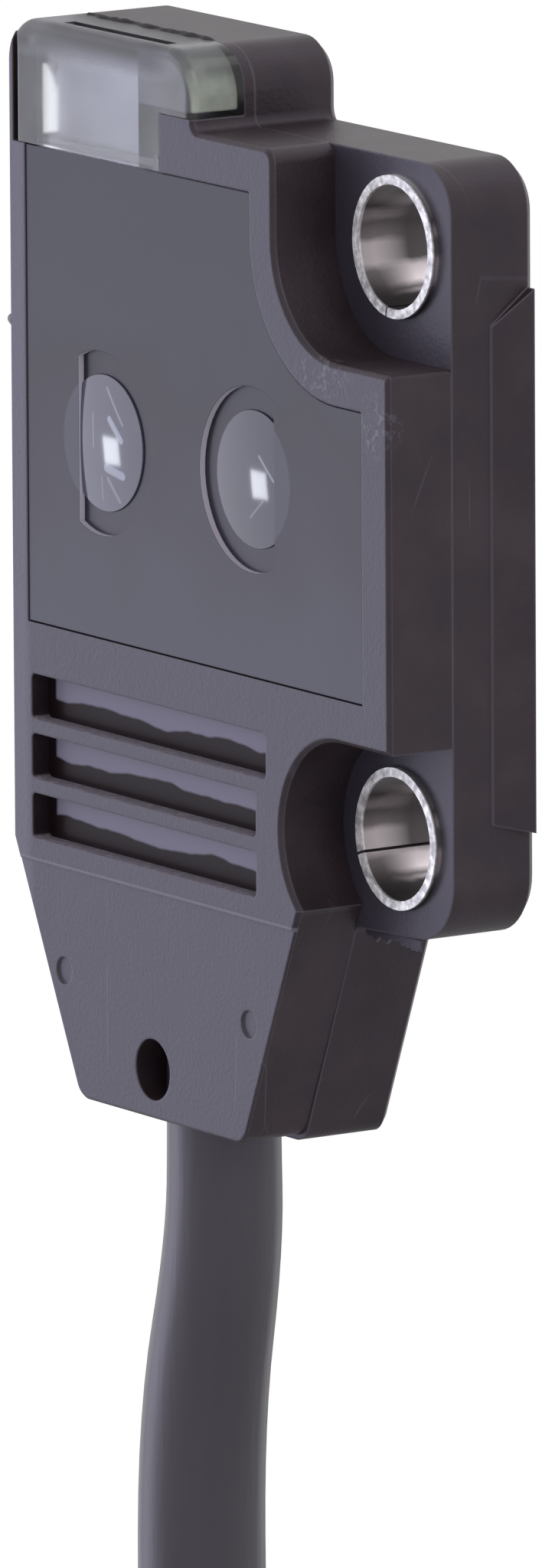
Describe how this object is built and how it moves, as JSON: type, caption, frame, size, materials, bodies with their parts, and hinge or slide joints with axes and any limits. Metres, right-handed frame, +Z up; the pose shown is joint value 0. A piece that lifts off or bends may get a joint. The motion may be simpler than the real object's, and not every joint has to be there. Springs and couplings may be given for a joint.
{
  "type": "reflective optical sensor",
  "caption": "Flat moulded photoelectric sensor head with two lenses, a clear indicator cap, sleeved screw holes and a captive cable wound in a hank.",
  "frame": {"origin": "on the flat back face, halfway between the two screw holes", "axes": "+Z up, from the lower to the upper screw hole; +Y out of the back face, away from the lenses; +X to the right as the lenses are seen"},
  "size_m": [0.0401, 0.0186, 0.1886],
  "materials": {
    "housing": "fine satin moulded black plastic",
    "clear_cap": "clear grey-green plastic",
    "smoked_window": "smoked plastic plate, satin gloss",
    "lens": "tinted clear plastic, polished",
    "sleeve": "rolled plated steel strip",
    "board": "green solder resist over glass laminate",
    "black_moulding": "matt black plastic",
    "led_package": "pale moulded package",
    "diode_package": "dark filter resin",
    "chip": "matt epoxy package",
    "ceramic": "fired ceramic",
    "pale_moulding": "white diffusing plastic",
    "brown_wire": "plastic insulation",
    "black_wire": "plastic insulation",
    "blue_wire": "plastic insulation",
    "solder": "bright tin solder",
    "resin": "glossy black casting resin",
    "cable_jacket": "matt dark grey cable jacket",
    "tie": "black tie strap"
  },
  "bodies": {
    "root": {"rear_shell": "housing", "front_shell": "housing", "indicator_cap": "clear_cap", "optical_window": "smoked_window", "emitter_lens": "lens", "receiver_lens": "lens", "upper_sleeve": "sleeve", "lower_sleeve": "sleeve", "circuit_board": "board", "light_barrier": "black_moulding", "emitter_led": "led_package", "receiver_diode": "diode_package", "control_chip": "chip", "output_driver": "chip", "chip_capacitors": "ceramic", "chip_resistors": "chip", "stability_led": "led_package", "output_led": "led_package", "indicator_tray": "pale_moulding", "brown_inner_wire": "brown_wire", "black_inner_wire": "black_wire", "blue_inner_wire": "blue_wire", "solder_joints": "solder", "potting": "resin", "cord_grip": "black_moulding", "cable": "cable_jacket", "cable_hank": "cable_jacket", "left_hank_tie": "tie", "right_hank_tie": "tie", "cable_tail": "cable_jacket", "brown_free_wire": "brown_wire", "black_free_wire": "black_wire", "blue_free_wire": "blue_wire", "tinned_ends": "solder"}
  },
  "joints": []
}
